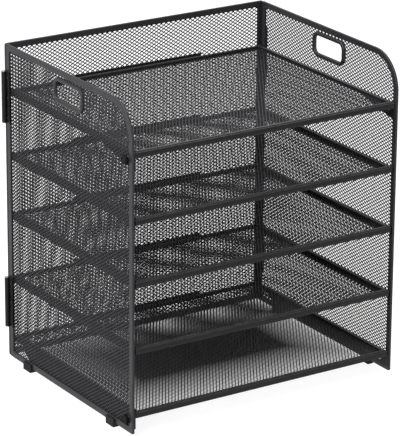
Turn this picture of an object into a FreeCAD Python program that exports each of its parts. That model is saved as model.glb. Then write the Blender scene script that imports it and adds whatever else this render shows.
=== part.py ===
import FreeCAD
import Part
import Sketcher
import os
import re
from FreeCAD import Rotation, Vector

# A five-tier letter tray of expanded steel mesh, in millimetres.
# X runs to the right, the front faces -Y, and Z is up from the ground under the feet.
# The rear panel carries a fixed top tray and a fixed bottom tray. Two side panels are
# hinged to it at its rear corners and carry the runners of three sliding trays.

SIZES = {
    # Overall
    "body_width": 320,
    "body_depth": 252,
    "panel_height": 346,
    "ground_gap": 4,
    # Folded steel rims of the three panels
    "rim_width": 6.6,
    "rim_thick": 2.6,
    "rim_corner": 2,
    "front_corner": 39,
    "edge_round": 0.7,
    "corner_gap": 0.6,
    # Mesh sheets and the slots that hold them
    "mesh_thick": 0.6,
    "slot_slack": 0.1,
    "slot_depth": 5.2,
    "net_pitch": 33,
    "net_strand": 9,
    # Hand hole near the top of each side panel
    "handle_length": 49,
    "handle_height": 19,
    "handle_drop": 22.5,
    "handle_shift": 3,
    "handle_rim": 4.5,
    "handle_thick": 4,
    "handle_corner": 5.5,
    "handle_grip": 3,
    # Trays
    "bottom_tray_rise": 16.9,
    "surround_height": 54.8,
    "second_slide_lift": 2,
    "third_slide_drop": 0.9,
    "tray_rim_height": 6.5,
    "tray_rim_width": 6,
    "tray_wall": 0.8,
    "tray_corner": 2,
    "tray_round": 0.6,
    "tray_front_inset": 0.5,
    "tray_rear_gap": 0.3,
    "floor_rise": 3.4,
    # Runners under the three sliding trays
    "runner_wall": 1,
    "runner_ledge": 7,
    "runner_web": 6,
    "runner_inset": 3,
    "side_gap": 0.4,
    "rest_gap": 0.1,
    # Stop strips on the rear panel
    "stop_length": 160,
    "stop_height": 5.5,
    "stop_thick": 1.5,
    "stop_rise": 2.4,
    # Side plates of the fixed trays, with their nuts and thumb screws
    "top_plate_length": 58,
    "top_plate_level": 4,
    "top_plate_drop": 13,
    "bottom_plate_length": 226,
    "bottom_plate_level": 211,
    "plate_foot_gap": 0.4,
    "plate_rear_drop": 1,
    "plate_rise": 5,
    "plate_thick": 1,
    "bottom_screw_inset": 11.2,
    "top_screw_inset": 11.2,
    "screw_drop": 3.1,
    "shank_radius": 1.8,
    "shank_length": 8,
    "shank_slack": 0.1,
    "knob_radius": 5,
    "knob_thick": 3,
    "knob_crown": 0.8,
    "nut_radius": 3,
    "nut_thick": 3,
    "nut_slack": 0.5,
    "eyelet_radius": 4.3,
    "eyelet_hub": 3.1,
    "eyelet_thick": 2.6,
    # Hinges at the rear corners
    "hinge_length": 55,
    "upper_hinge_drop": 29.2,
    "lower_hinge_rise": 34.8,
    "knuckle_radius": 2.6,
    "knuckle_gap": 0.3,
    "middle_knuckle": 20,
    "pin_radius": 1.4,
    "pin_slack": 0.08,
    "pin_head_radius": 2.1,
    "pin_head": 0.8,
    "leaf_thick": 1,
    "leaf_width": 8,
    "leaf_clear": 2.9,
    # Rubber feet on the bottom rims
    "foot_length": 15,
    "front_foot_inset": 34,
    "rear_foot_inset": 34.4,
    "foot_width": 7,
    "foot_grip": 5,
    "foot_slack": 0.05,
    "foot_round": 1.2,
    # How far a cutting tool reaches past what it cuts
    "overrun": 1,
}

NODES = []

# How many times the kernel's own tolerance two heights may differ and still count as one
TOLERANCE_SHARE = 100

doc = FreeCAD.newDocument("LetterTrayTower")
sheet = doc.addObject("Spreadsheet::Sheet", "Sizes")
for row, (alias, number) in enumerate(SIZES.items(), start=1):
    sheet.set(f"A{row}", alias)
    sheet.set(f"B{row}", str(number))
    sheet.setAlias(f"B{row}", alias)
doc.recompute()

# Formulas that several pieces share, in the sheet's names
SIDE_DEPTH = "(body_depth - rim_thick - corner_gap)"
MID_PLANE = "(body_width / 2 - rim_thick / 2)"
PANEL_FACE = "(body_width / 2 - rim_thick)"
SLOT = "(mesh_thick + 2 * slot_slack)"
FRONT = "(-body_depth / 2)"
TRAY_HALF = "(body_width / 2 - rim_thick - side_gap - plate_thick)"
TRAY_BACK = "(body_depth / 2 - rim_thick / 2 - mesh_thick / 2 - stop_thick - tray_rear_gap)"
TRAY_FRONT = "(-body_depth / 2 + tray_front_inset)"
TOP_RISE = "(panel_height - surround_height)"
RISES = [
    "bottom_tray_rise",
    f"({TOP_RISE} / 4 + bottom_tray_rise * 3 / 4)",
    f"({TOP_RISE} / 2 + bottom_tray_rise / 2 + second_slide_lift)",
    f"({TOP_RISE} * 3 / 4 + bottom_tray_rise / 4 - third_slide_drop)",
    TOP_RISE,
]
HINGE_RISES = {"lower": "lower_hinge_rise", "upper": "(panel_height - upper_hinge_drop - hinge_length)"}
# The tiers that are screwed to the side panels, and how far their side plates hang
SCREWS = {"bottom": 0, "top": 4}
PLATE_DROPS = {"bottom": "(bottom_tray_rise - foot_grip - plate_foot_gap)", "top": "top_plate_drop"}
HINGE_X = "(body_width / 2 + knuckle_radius)"
HINGE_Y = "(body_depth / 2 - rim_thick - corner_gap / 2)"


def linked(formula):
    """Return a formula with each sheet name written as a reference to the sheet."""
    return re.sub(r"[a-z]\w*", lambda word: f"Sizes.{word.group()}", formula)


def bind(item, **formulas):
    """Tie properties of an object to formulas in the sheet's names."""
    for name, formula in formulas.items():
        item.setExpression(name.replace("__", "."), linked(formula))


def value(formula):
    """Return what a formula gives now, as a plain number."""
    return float(doc.Sizes.evalExpression(linked(formula)))


def seat(item, x_at, y_at, z_at):
    """Tie the place of an object to three formulas."""
    bind(item, Placement__Base__x=x_at, Placement__Base__y=y_at, Placement__Base__z=z_at)
    return item


def node(item, label):
    """Name a finished piece and put it on the list of files."""
    item.Label = label
    NODES.append(item)
    return item


def block(length, width, height, x_at, y_at, z_at):
    """Return a box with its low corner at a place."""
    item = doc.addObject("Part::Box", "Block")
    bind(item, Length=length, Width=width, Height=height)
    return seat(item, x_at, y_at, z_at)


def rod(radius, height, x_at, y_at, z_at, turn=None):
    """Return an upright cylinder, or one turned by a rotation."""
    item = doc.addObject("Part::Cylinder", "Rod")
    bind(item, Radius=radius, Height=height)
    if turn:
        item.Placement.Rotation = turn
    return seat(item, x_at, y_at, z_at)


def cone(low_radius, high_radius, height, x_at, y_at, z_at, turn):
    """Return a cone frustum turned by a rotation."""
    item = doc.addObject("Part::Cone", "Cone")
    bind(item, Radius1=low_radius, Radius2=high_radius, Height=height)
    item.Placement.Rotation = turn
    return seat(item, x_at, y_at, z_at)


def join(*pieces):
    """Return one solid fused from several."""
    item = doc.addObject("Part::MultiFuse", "Join")
    item.Shapes = list(pieces)
    return item


def cut(base, *tools):
    """Return a solid less one or more tools."""
    item = doc.addObject("Part::Cut", "Cut")
    item.Base = base
    item.Tool = tools[0] if len(tools) == 1 else join(*tools)
    return item


def mirrored(side, near, far):
    """Return the low X of a span that lies between two distances from the middle plane."""
    return near if side > 0 else f"(-({far}))"


class Outline:
    """A sketch of one or more rectangles with rounded corners on a body's own plane."""

    def __init__(self, body, role):
        """Attach an empty sketch to the origin plane of a body that has this role."""
        plane = [p for p in body.Origin.OriginFeatures if p.Role == role][0]
        self.sketch = body.newObject("Sketcher::SketchObject", "Outline")
        self.sketch.AttachmentSupport = [(plane, "")]
        self.sketch.MapMode = "FlatFace"

    def hold(self, kind, geometry, point, formula):
        """Add a distance from the origin, or a radius, that follows a formula."""
        if kind == "Radius":
            made = Sketcher.Constraint(kind, geometry, value(formula))
        else:
            made = Sketcher.Constraint(kind, -1, 1, geometry, point, value(formula))
        index = self.sketch.addConstraint(made)
        self.sketch.setExpression(f"Constraints[{index}]", linked(formula))

    def loop(self, left, low, right, high, radii):
        """Draw a rectangle whose corners, from low left round, have these radii."""
        corners = [(left, low), (right, low), (right, high), (left, high)]
        spots = [Vector(value(u), value(v), 0) for u, v in corners]
        rounds = [value(r) for r in radii]
        start = self.sketch.GeometryCount
        for i in range(4):
            along = (spots[(i + 1) % 4] - spots[i]).normalize()
            first = spots[i] + along * rounds[i]
            last = spots[(i + 1) % 4] - along * rounds[(i + 1) % 4]
            self.sketch.addGeometry(Part.LineSegment(first, last), False)
        for i in range(4):
            ahead = (spots[(i + 1) % 4] - spots[i]).normalize()
            behind = (spots[(i - 1) % 4] - spots[i]).normalize()
            centre = spots[i] + (ahead + behind) * rounds[i]
            circle = Part.Circle(centre, Vector(0, 0, 1), rounds[i])
            begin = circle.parameter(spots[i] + behind * rounds[i])
            finish = circle.parameter(spots[i] + ahead * rounds[i])
            self.sketch.addGeometry(Part.ArcOfCircle(circle, begin, finish), False)
        for i in range(4):
            line = start + i
            arc = start + 4 + i
            before = start + (i - 1) % 4
            self.sketch.addConstraint(Sketcher.Constraint("Tangent", before, 2, arc, 1))
            self.sketch.addConstraint(Sketcher.Constraint("Tangent", arc, 2, line, 1))
            kind = "Horizontal" if i % 2 == 0 else "Vertical"
            self.sketch.addConstraint(Sketcher.Constraint(kind, line))
            self.hold("Radius", arc, 0, radii[i])
        self.hold("DistanceY", start, 1, low)
        self.hold("DistanceX", start + 1, 1, right)
        self.hold("DistanceY", start + 2, 1, high)
        self.hold("DistanceX", start + 3, 1, left)
        return self


def pad(body, outline, length, centred):
    """Raise an outline into a solid, on one side of its plane or on both."""
    item = body.newObject("PartDesign::Pad", "Pad")
    item.Profile = outline.sketch
    item.Midplane = centred
    bind(item, Length=length)
    doc.recompute()
    return item


def pocket(body, outline, length, centred):
    """Cut an outline out of a body, along the way that its pad was raised."""
    before = body.Shape.Volume
    item = body.newObject("PartDesign::Pocket", "Pocket")
    item.Profile = outline.sketch
    item.Midplane = centred
    item.Reversed = not centred
    bind(item, Length=length)
    doc.recompute()
    if body.Shape.Volume >= before:
        raise RuntimeError(f"a pocket of {body.Label} removes nothing")
    return item


def soften(body, base, axis, radius, only_high):
    """Round the edges of a pad that lie flat across an axis: all, or the highest."""
    names = []
    slack = Part.Precision.confusion() * TOLERANCE_SHARE
    top = getattr(base.Shape.BoundBox, f"{axis}Max")
    for number, edge in enumerate(base.Shape.Edges, start=1):
        box = edge.BoundBox
        flat = getattr(box, f"{axis}Length") < slack
        high = abs(getattr(box, f"{axis}Max") - top) < slack
        if flat and (high or not only_high):
            names.append(f"Edge{number}")
    item = body.newObject("PartDesign::Fillet", "Fillet")
    item.Base = (base, names)
    bind(item, Radius=radius)
    doc.recompute()
    return item


def new_body(label):
    """Return an empty body that is a piece of its own."""
    return node(doc.addObject("PartDesign::Body", "Body"), label)


class Net:
    """A flat sheet with diamond gaps, drawn in the two directions that it spans."""

    def __init__(self, wide, tall, spread):
        """Keep the sheet's width and height and the function that places a point."""
        self.wide = wide
        self.tall = tall
        self.spread = spread
        self.keep_clear = []

    def ring(self, points):
        """Return a closed wire through points of the sheet."""
        spots = [self.spread(u, v) for u, v in points]
        return Part.makePolygon(spots + spots[:1])

    def border(self, corner):
        """Return the outer wire, with one rounded corner at the front top if asked."""
        if not corner:
            return self.ring([(0, 0), (self.wide, 0), (self.wide, self.tall), (0, self.tall)])
        middle = corner * (1 - 0.5 ** 0.5)
        low = self.spread(0, self.tall - corner)
        high = self.spread(corner, self.tall)
        bend = Part.Arc(high, self.spread(middle, self.tall - middle), low).toShape()
        path = [low, self.spread(0, 0), self.spread(self.wide, 0), self.spread(self.wide, self.tall), high]
        return Part.Wire(Part.makePolygon(path).Edges + [bend])

    def diamond(self, u, v, reach_u, reach_v, margin):
        """Return the tips of a gap that lie inside the margin: four, or three at a side."""
        slack = Part.Precision.confusion()
        tips = [(u - reach_u, v), (u, v - reach_v), (u + reach_u, v), (u, v + reach_v)]
        return [(a, b) for a, b in tips
                if margin - slack <= a <= self.wide - margin + slack
                and margin - slack <= b <= self.tall - margin + slack]

    def free(self, tips, corner, margin):
        """Tell whether a gap stays inside the rounded corner and off the kept areas."""
        if len(tips) < 3 or any(self.in_corner(a, b, corner, margin) for a, b in tips):
            return False
        first, last = min(a for a, b in tips), max(a for a, b in tips)
        under, over = min(b for a, b in tips), max(b for a, b in tips)
        for left, low, right, high in self.keep_clear:
            if first < right and last > left and under < high and over > low:
                return False
        return True

    def in_corner(self, u, v, corner, margin):
        """Tell whether a tip is too near the rounded corner's arc."""
        side = corner - u
        rise = v - (self.tall - corner)
        return side > 0 and rise > 0 and (side ** 2 + rise ** 2) ** 0.5 > corner - margin

    def gaps(self, pitch, strand, corner, margin):
        """Return the wires of two families of diamond gaps that fill the sheet to its margin."""
        columns = round((self.wide - 2 * margin) / pitch)
        rows = round((self.tall - 2 * margin) / pitch)
        across = (self.wide - 2 * margin) / columns
        along = (self.tall - 2 * margin) / rows
        wires = []
        for family in (0, 1):
            for row in range(rows + 1 - family):
                for column in range(columns + 1 - family):
                    u = margin + (column + family / 2) * across
                    v = margin + (row + family / 2) * along
                    tips = self.diamond(u, v, (across - strand) / 2, (along - strand) / 2, margin)
                    if self.free(tips, corner, margin):
                        wires.append(self.ring(tips))
        return wires


def net_shape(net, corner, cut_outs, normal):
    """Return a mesh sheet as one holed face of its thickness."""
    margin = value("slot_depth")
    wires = [net.border(corner)] + cut_outs
    wires += net.gaps(value("net_pitch"), value("net_strand"), corner, margin)
    face = Part.makeFace(wires, "Part::FaceMakerBullseye")
    thick = normal * value("mesh_thick")
    face.translate(thick * -0.5)
    return face.extrude(thick)


def net_sheet(label, shape, place):
    """Set a mesh sheet in place as a piece of its own."""
    item = doc.addObject("Part::Feature", "Net")
    item.Shape = shape
    item.Placement.Base = Vector(*[value(part) for part in place])
    return node(item, label)


def rear_panel():
    """Make the rear rim, its mesh and the five stop strips."""
    body = new_body("rear_panel_rim")
    corner = ["rim_corner"] * 4
    inner = "rim_width"
    frame = Outline(body, "XZ_Plane").loop("0", "0", "body_width", "panel_height", corner)
    frame.loop(inner, inner, "body_width - rim_width", "panel_height - rim_width", corner)
    solid = pad(body, frame, "rim_thick", True)
    soften(body, solid, "Y", "edge_round", False)
    near = "(rim_width - slot_depth)"
    slot = Outline(body, "XZ_Plane")
    slot.loop(near, near, f"body_width - {near}", f"panel_height - {near}", corner)
    pocket(body, slot, SLOT, True)
    seat(body, "-body_width / 2", "body_depth / 2 - rim_thick / 2", "ground_gap")

    edge = value("rim_width - slot_depth + slot_slack")
    net = Net(value("body_width") - 2 * edge, value("panel_height") - 2 * edge, to_rear)
    shift = "rim_width - slot_depth + slot_slack"
    place = (f"-body_width / 2 + {shift}", "body_depth / 2 - rim_thick / 2", f"ground_gap + {shift}")
    net_sheet("rear_panel_mesh", net_shape(net, 0, [], Vector(0, 1, 0)), place)

    for tier in range(len(RISES)):
        back = "body_depth / 2 - rim_thick / 2 - mesh_thick / 2 - stop_thick"
        strip = block("stop_length", "stop_thick", "stop_height",
                      "-stop_length / 2", back, f"{tray_base(tier)} + stop_rise")
        node(strip, f"rear_stop_{tier + 1}")


def to_rear(u, v):
    """Place a point of a sheet that faces the front."""
    return Vector(u, 0, v)


def to_side(u, v):
    """Place a point of a sheet that faces sideways, with its first way to the rear."""
    return Vector(0, u, v)


def to_floor(u, v):
    """Place a point of a level sheet."""
    return Vector(u, v, 0)


def tray_base(tier):
    """Return the height of the underside of a tray, counted from the bottom one."""
    return f"(ground_gap + {RISES[tier]})"


def tray_floor():
    """Return the mesh floor that all five trays share."""
    lip = value("tray_wall + slot_slack")
    wide = value(f"2 * {TRAY_HALF}") - 2 * lip
    deep = value(f"{TRAY_BACK} - {TRAY_FRONT}") - 2 * lip
    return net_shape(Net(wide, deep, to_floor), 0, [], Vector(0, 0, 1))


def tray(label, tier, floor):
    """Make a tray's folded rim and set its mesh floor."""
    body = new_body(f"{label}_rim")
    wide = f"(2 * {TRAY_HALF})"
    deep = f"({TRAY_BACK} - {TRAY_FRONT})"
    edge = "tray_rim_width"
    shell = "(tray_rim_width - tray_wall)"
    outer = ["tray_corner"] * 4
    inner = ["(tray_corner - tray_wall)"] * 4
    ring = Outline(body, "XY_Plane").loop("0", "0", wide, deep, outer)
    ring.loop(edge, edge, f"{wide} - {edge}", f"{deep} - {edge}", outer)
    solid = pad(body, ring, "tray_rim_height", False)
    soften(body, solid, "Z", "tray_round", True)
    fold = Outline(body, "XY_Plane")
    fold.loop("tray_wall", "tray_wall", f"{wide} - tray_wall", f"{deep} - tray_wall", inner)
    fold.loop(shell, shell, f"{wide} - {shell}", f"{deep} - {shell}", outer)
    pocket(body, fold, "tray_rim_height - tray_wall", False)
    under = Outline(body, "XY_Plane")
    under.loop("tray_wall", "tray_wall", f"{wide} - tray_wall", f"{deep} - tray_wall", inner)
    pocket(body, under, "floor_rise", False)
    seat(body, f"-{TRAY_HALF}", TRAY_FRONT, tray_base(tier))

    place = (f"-{TRAY_HALF} + tray_wall + slot_slack", f"{TRAY_FRONT} + tray_wall + slot_slack",
             f"{tray_base(tier)} + floor_rise - mesh_thick / 2")
    net_sheet(f"{label}_mesh", floor, place)


def side_plate(label, side, part, tier):
    """Make the plate on a fixed tray's side, tapered at its rear, with a hole for the screw."""
    body = new_body(label)
    plane = [p for p in body.Origin.OriginFeatures if p.Role == "YZ_Plane"][0]
    drop = PLATE_DROPS[part]
    sketch = body.newObject("Sketcher::SketchObject", "Taper")
    sketch.AttachmentSupport = [(plane, "")]
    sketch.MapMode = "FlatFace"
    corners = [("0", "0"), (f"{part}_plate_level", "0"), (f"{part}_plate_length", f"{drop} - plate_rear_drop"),
               (f"{part}_plate_length", f"{drop} + plate_rise"), ("0", f"{drop} + plate_rise")]
    spots = [Vector(value(u), value(v), 0) for u, v in corners]
    count = len(corners)
    for i in range(count):
        sketch.addGeometry(Part.LineSegment(spots[i], spots[(i + 1) % count]), False)
    for i in range(count):
        sketch.addConstraint(Sketcher.Constraint("Coincident", i, 2, (i + 1) % count, 1))
        for kind, formula in zip(("DistanceX", "DistanceY"), corners[i]):
            index = sketch.addConstraint(Sketcher.Constraint(kind, -1, 1, i, 1, value(formula)))
            sketch.setExpression(f"Constraints[{index}]", linked(formula))
    solid = body.newObject("PartDesign::Pad", "Pad")
    solid.Profile = sketch
    bind(solid, Length="plate_thick")
    ring = body.newObject("Sketcher::SketchObject", "Bore")
    ring.AttachmentSupport = [(plane, "")]
    ring.MapMode = "FlatFace"
    places = [("DistanceX", f"{part}_screw_inset - tray_front_inset"), ("DistanceY", f"{drop} - screw_drop")]
    centre = Vector(value(places[0][1]), value(places[1][1]), 0)
    ring.addGeometry(Part.Circle(centre, Vector(0, 0, 1), value("shank_radius")), False)
    for kind, formula in places:
        index = ring.addConstraint(Sketcher.Constraint(kind, -1, 1, 0, 3, value(formula)))
        ring.setExpression(f"Constraints[{index}]", linked(formula))
    index = ring.addConstraint(Sketcher.Constraint("Radius", 0, value("shank_radius + nut_slack")))
    ring.setExpression(f"Constraints[{index}]", linked("shank_radius + nut_slack"))
    hole = body.newObject("PartDesign::Pocket", "Hole")
    hole.Profile = ring
    hole.Reversed = True
    bind(hole, Length="plate_thick")
    seat(body, mirrored(side, TRAY_HALF, f"{TRAY_HALF} + plate_thick"), TRAY_FRONT,
         f"{tray_base(tier)} - {drop}")


def nuts(label, part, tier):
    """Make the two round nuts on the inner faces of a fixed tray's side plates."""
    rings = []
    for side in (-1, 1):
        turn = Rotation(Vector(0, 1, 0), -90 * side)
        start = f"{side} * {TRAY_HALF}"
        y_at = f"{FRONT} + {part}_screw_inset"
        z_at = f"{tray_base(tier)} - screw_drop"
        outer = rod("nut_radius", "nut_thick", start, y_at, z_at, turn)
        bore = rod("shank_radius + nut_slack", "nut_thick", start, y_at, z_at, turn)
        rings.append(cut(outer, bore))
    group = doc.addObject("Part::Compound", "Nuts")
    group.Links = rings
    node(group, label)


def side_panel(name, side, sheet_shape):
    """Make one side panel: rim, mesh, hand hole rim, eyelets and feet."""
    body = new_body(f"{name}_panel_rim")
    outer = ["rim_corner", "rim_corner", "rim_corner", "front_corner"]
    inner = ["rim_corner", "rim_corner", "rim_corner", "(front_corner - rim_width)"]
    frame = Outline(body, "YZ_Plane").loop("0", "0", SIDE_DEPTH, "panel_height", outer)
    frame.loop("rim_width", "rim_width", f"{SIDE_DEPTH} - rim_width", "panel_height - rim_width", inner)
    solid = pad(body, frame, "rim_thick", True)
    soften(body, solid, "X", "edge_round", False)
    near = "(rim_width - slot_depth)"
    inner[3] = f"(front_corner - {near})"
    slot = Outline(body, "YZ_Plane")
    slot.loop(near, near, f"{SIDE_DEPTH} - {near}", f"panel_height - {near}", inner)
    pocket(body, slot, SLOT, True)
    seat(body, f"{side} * {MID_PLANE}", FRONT, "ground_gap")

    grip = new_body(f"{name}_handle_rim")
    mouth = ["handle_corner"] * 4
    lip = ["(handle_corner + handle_rim)"] * 4
    trough = ["(handle_corner + handle_rim - handle_grip)"] * 4
    ring = Outline(grip, "YZ_Plane")
    ring.loop("-handle_length / 2 - handle_rim", "-handle_height / 2 - handle_rim",
              "handle_length / 2 + handle_rim", "handle_height / 2 + handle_rim", lip)
    ring.loop("-handle_length / 2", "-handle_height / 2", "handle_length / 2", "handle_height / 2", mouth)
    solid = pad(grip, ring, "handle_thick", True)
    soften(grip, solid, "X", "edge_round", False)
    seam = Outline(grip, "YZ_Plane")
    far = "(handle_rim + overrun)"
    brim = ["(handle_corner + handle_rim)"] * 4
    seam.loop(f"-handle_length / 2 - {far}", f"-handle_height / 2 - {far}",
              f"handle_length / 2 + {far}", f"handle_height / 2 + {far}", brim)
    hub = "(handle_rim - handle_grip)"
    seam.loop(f"-handle_length / 2 - {hub}", f"-handle_height / 2 - {hub}",
              f"handle_length / 2 + {hub}", f"handle_height / 2 + {hub}", trough)
    pocket(grip, seam, SLOT, True)
    seat(grip, f"{side} * {MID_PLANE}", "-handle_shift", "ground_gap + panel_height - handle_drop")

    shift = "rim_width - slot_depth + slot_slack"
    place = (f"{side} * {MID_PLANE}", f"{FRONT} + {shift}", f"ground_gap + {shift}")
    net_sheet(f"{name}_panel_mesh", sheet_shape, place)
    eyelets(name, side)
    for part, start in (("front", "front_foot_inset"), ("rear", "body_depth - rear_foot_inset - foot_length")):
        foot(f"{name}_{part}_foot", side, start)


def side_sheet():
    """Return the mesh sheet of a side panel, open at the hand hole and the two screws."""
    edge = value("rim_width - slot_depth + slot_slack")
    net = Net(value(SIDE_DEPTH) - 2 * edge, value("panel_height") - 2 * edge, to_side)
    half_u = value("handle_length / 2 + handle_rim - handle_grip + slot_slack")
    half_v = value("handle_height / 2 + handle_rim - handle_grip + slot_slack")
    mid_u = value("body_depth / 2 - handle_shift") - edge
    mid_v = value("panel_height - handle_drop") - edge
    mouth = net.ring([(mid_u - half_u, mid_v - half_v), (mid_u + half_u, mid_v - half_v),
                      (mid_u + half_u, mid_v + half_v), (mid_u - half_u, mid_v + half_v)])
    cut_outs = [mouth]
    grip = value("handle_grip")
    net.keep_clear.append((mid_u - half_u - grip, mid_v - half_v - grip,
                           mid_u + half_u + grip, mid_v + half_v + grip))
    for part, tier in SCREWS.items():
        u = value(f"{part}_screw_inset") - edge
        v = value(f"{tray_base(tier)} - screw_drop - ground_gap") - edge
        reach = value("eyelet_radius")
        net.keep_clear.append((u - reach, v - reach, u + reach, v + reach))
        bore = Part.Circle(to_side(u, v), Vector(1, 0, 0), value("eyelet_hub + slot_slack"))
        cut_outs.append(Part.Wire(bore.toShape()))
    corner = value("front_corner") - edge
    return net_shape(net, corner, cut_outs, Vector(1, 0, 0))


def eyelets(name, side):
    """Make the two grooved eyelets that line the screw holes of a side panel."""
    rings = []
    turn = Rotation(Vector(0, 1, 0), 90)
    for part, tier in SCREWS.items():
        y_at = f"{FRONT} + {part}_screw_inset"
        z_at = f"{tray_base(tier)} - screw_drop"
        start = f"{side} * {MID_PLANE} - eyelet_thick / 2"
        outer = rod("eyelet_radius", "eyelet_thick", start, y_at, z_at, turn)
        bore = rod("shank_radius + shank_slack", "eyelet_thick", start, y_at, z_at, turn)
        groove_start = f"{side} * {MID_PLANE} - {SLOT} / 2"
        groove = rod("eyelet_radius + overrun", SLOT, groove_start, y_at, z_at, turn)
        hub = rod("eyelet_hub", SLOT, groove_start, y_at, z_at, turn)
        rings.append(cut(cut(outer, cut(groove, hub)), bore))
    group = doc.addObject("Part::Compound", "Eyelets")
    group.Links = rings
    node(group, f"{name}_screw_eyelets")


def thumb_screw(label, side, part, tier):
    """Make a thumb screw whose knob bears on the eyelet of a side panel."""
    turn = Rotation(Vector(0, 1, 0), 90 * side)
    back = Rotation(Vector(0, 1, 0), -90 * side)
    y_at = f"{FRONT} + {part}_screw_inset"
    z_at = f"{tray_base(tier)} - screw_drop"
    face = f"({MID_PLANE} + eyelet_thick / 2)"
    knob = rod("knob_radius", "knob_thick", f"{side} * {face}", y_at, z_at, turn)
    crown = cone("knob_radius", "knob_radius - knob_crown", "knob_crown",
                 f"{side} * ({face} + knob_thick)", y_at, z_at, turn)
    shank = rod("shank_radius", "shank_length", f"{side} * {face}", y_at, z_at, back)
    node(join(knob, crown, shank), label)


def foot(label, side, start):
    """Make a rubber cap that straddles the bottom rim of a side panel."""
    body = doc.addObject("PartDesign::Body", "FootBlock")
    plan = Outline(body, "YZ_Plane")
    plan.loop("0", "0", "foot_length", "ground_gap + foot_grip", ["foot_round"] * 4)
    solid = pad(body, plan, "foot_width", True)
    soften(body, solid, "X", "foot_round", False)
    seat(body, f"{side} * {MID_PLANE}", f"{FRONT} + {start}", "0")
    gap = block("rim_thick + 2 * foot_slack", "foot_length + 2 * overrun", "foot_grip + overrun",
                f"{side} * {MID_PLANE} - rim_thick / 2 - foot_slack",
                f"{FRONT} + {start} - overrun", "ground_gap")
    node(cut(body, gap), label)


def runner(label, side, tier):
    """Make an angle that a sliding tray rests on, fixed across the side panel's rims."""
    length = f"({SIDE_DEPTH} - 2 * runner_inset)"
    low = f"{tray_base(tier)} - rest_gap - runner_wall"
    y_at = f"{FRONT} + runner_inset"
    web_x = mirrored(side, f"{PANEL_FACE} - runner_wall", PANEL_FACE)
    web = block("runner_wall", length, "runner_web", web_x, y_at, low)
    ledge_x = mirrored(side, f"{PANEL_FACE} - runner_ledge", PANEL_FACE)
    ledge = block("runner_ledge", length, "runner_wall", ledge_x, y_at, low)
    node(join(web, ledge), label)


def hinge(name, side, part):
    """Make a hinge: the leaf of the side panel, the leaf of the rear panel and the pin."""
    low = f"(ground_gap + {HINGE_RISES[part]})"
    axis_x = f"{side} * {HINGE_X}"
    bore = rod("pin_radius + pin_slack", "hinge_length + 2 * overrun", axis_x, HINGE_Y, f"{low} - overrun")
    end = "((hinge_length - middle_knuckle) / 2 - knuckle_gap)"
    plate_x = mirrored(side, "body_width / 2", "body_width / 2 + leaf_thick")
    plate = block("leaf_thick", "leaf_width - leaf_clear", "hinge_length",
                  plate_x, f"{HINGE_Y} - leaf_width", low)
    pieces = [plate]
    for z_at in (low, f"{low} + hinge_length - {end}"):
        pieces.append(rod("knuckle_radius", end, axis_x, HINGE_Y, z_at))
        pieces.append(block("leaf_thick", "leaf_clear + overrun", end, plate_x,
                            f"{HINGE_Y} - leaf_clear - overrun", z_at))
    node(cut(join(*pieces), bore), f"{name}_{part}_hinge_leaf")

    middle = f"{low} + (hinge_length - middle_knuckle) / 2"
    barrel = rod("knuckle_radius", "middle_knuckle", axis_x, HINGE_Y, middle)
    flag = block("leaf_thick", "rim_thick + corner_gap / 2 - edge_round", "middle_knuckle",
                 plate_x, HINGE_Y, middle)
    node(cut(join(barrel, flag), bore), f"{name}_{part}_hinge_bracket")

    pin = rod("pin_radius", "hinge_length", axis_x, HINGE_Y, low)
    head = rod("pin_head_radius", "pin_head", axis_x, HINGE_Y, f"{low} + hinge_length")
    base = rod("pin_head_radius", "pin_head", axis_x, HINGE_Y, f"{low} - pin_head")
    node(join(pin, head, base), f"{name}_{part}_hinge_pin")


def build():
    """Make every piece of the tower."""
    rear_panel()
    floor = tray_floor()
    for part, tier in SCREWS.items():
        tray(f"{part}_tray", tier, floor)
        side_plate(f"{part}_tray_left_plate", -1, part, tier)
        side_plate(f"{part}_tray_right_plate", 1, part, tier)
        nuts(f"{part}_tray_nuts", part, tier)
    for tier in (1, 2, 3):
        tray(f"sliding_tray_{tier}", tier, floor)
    side_mesh = side_sheet()
    for name, side in (("left", -1), ("right", 1)):
        side_panel(name, side, side_mesh)
        for tier in (1, 2, 3):
            runner(f"{name}_runner_{tier}", side, tier)
        thumb_screw(f"{name}_lower_thumb_screw", side, "bottom", 0)
        thumb_screw(f"{name}_upper_thumb_screw", side, "top", 4)
        for part in ("lower", "upper"):
            hinge(name, side, part)


def check():
    """Stop if an object of the document failed or a piece has no valid solid."""
    doc.recompute()
    for item in doc.Objects:
        if "Invalid" in item.State or "Error" in item.State:
            raise RuntimeError(f"{item.Label} failed: {item.State}")
    for item in NODES:
        if item.Shape.isNull() or not item.Shape.isValid() or not item.Shape.Solids:
            raise RuntimeError(f"{item.Label} has no valid solid")


def write():
    """Write each piece to a STEP file named after its node."""
    os.makedirs("parts", exist_ok=True)
    for item in NODES:
        item.Shape.exportStep(f"parts/{item.Label}.step")
        print(item.Label, len(item.Shape.Solids), round(item.Shape.Volume, 1))


build()
check()
write()
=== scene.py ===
"""Looks of a black mesh letter tray tower: expanded mesh, powder coat, rubber and hardware.

Lengths are in metres. X runs to the right, the open front faces -Y, and Z is up.
"""

import logging
import math
from dataclasses import dataclass, field
from enum import Enum

import bmesh
import bpy
from mathutils import Matrix, Vector

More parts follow.
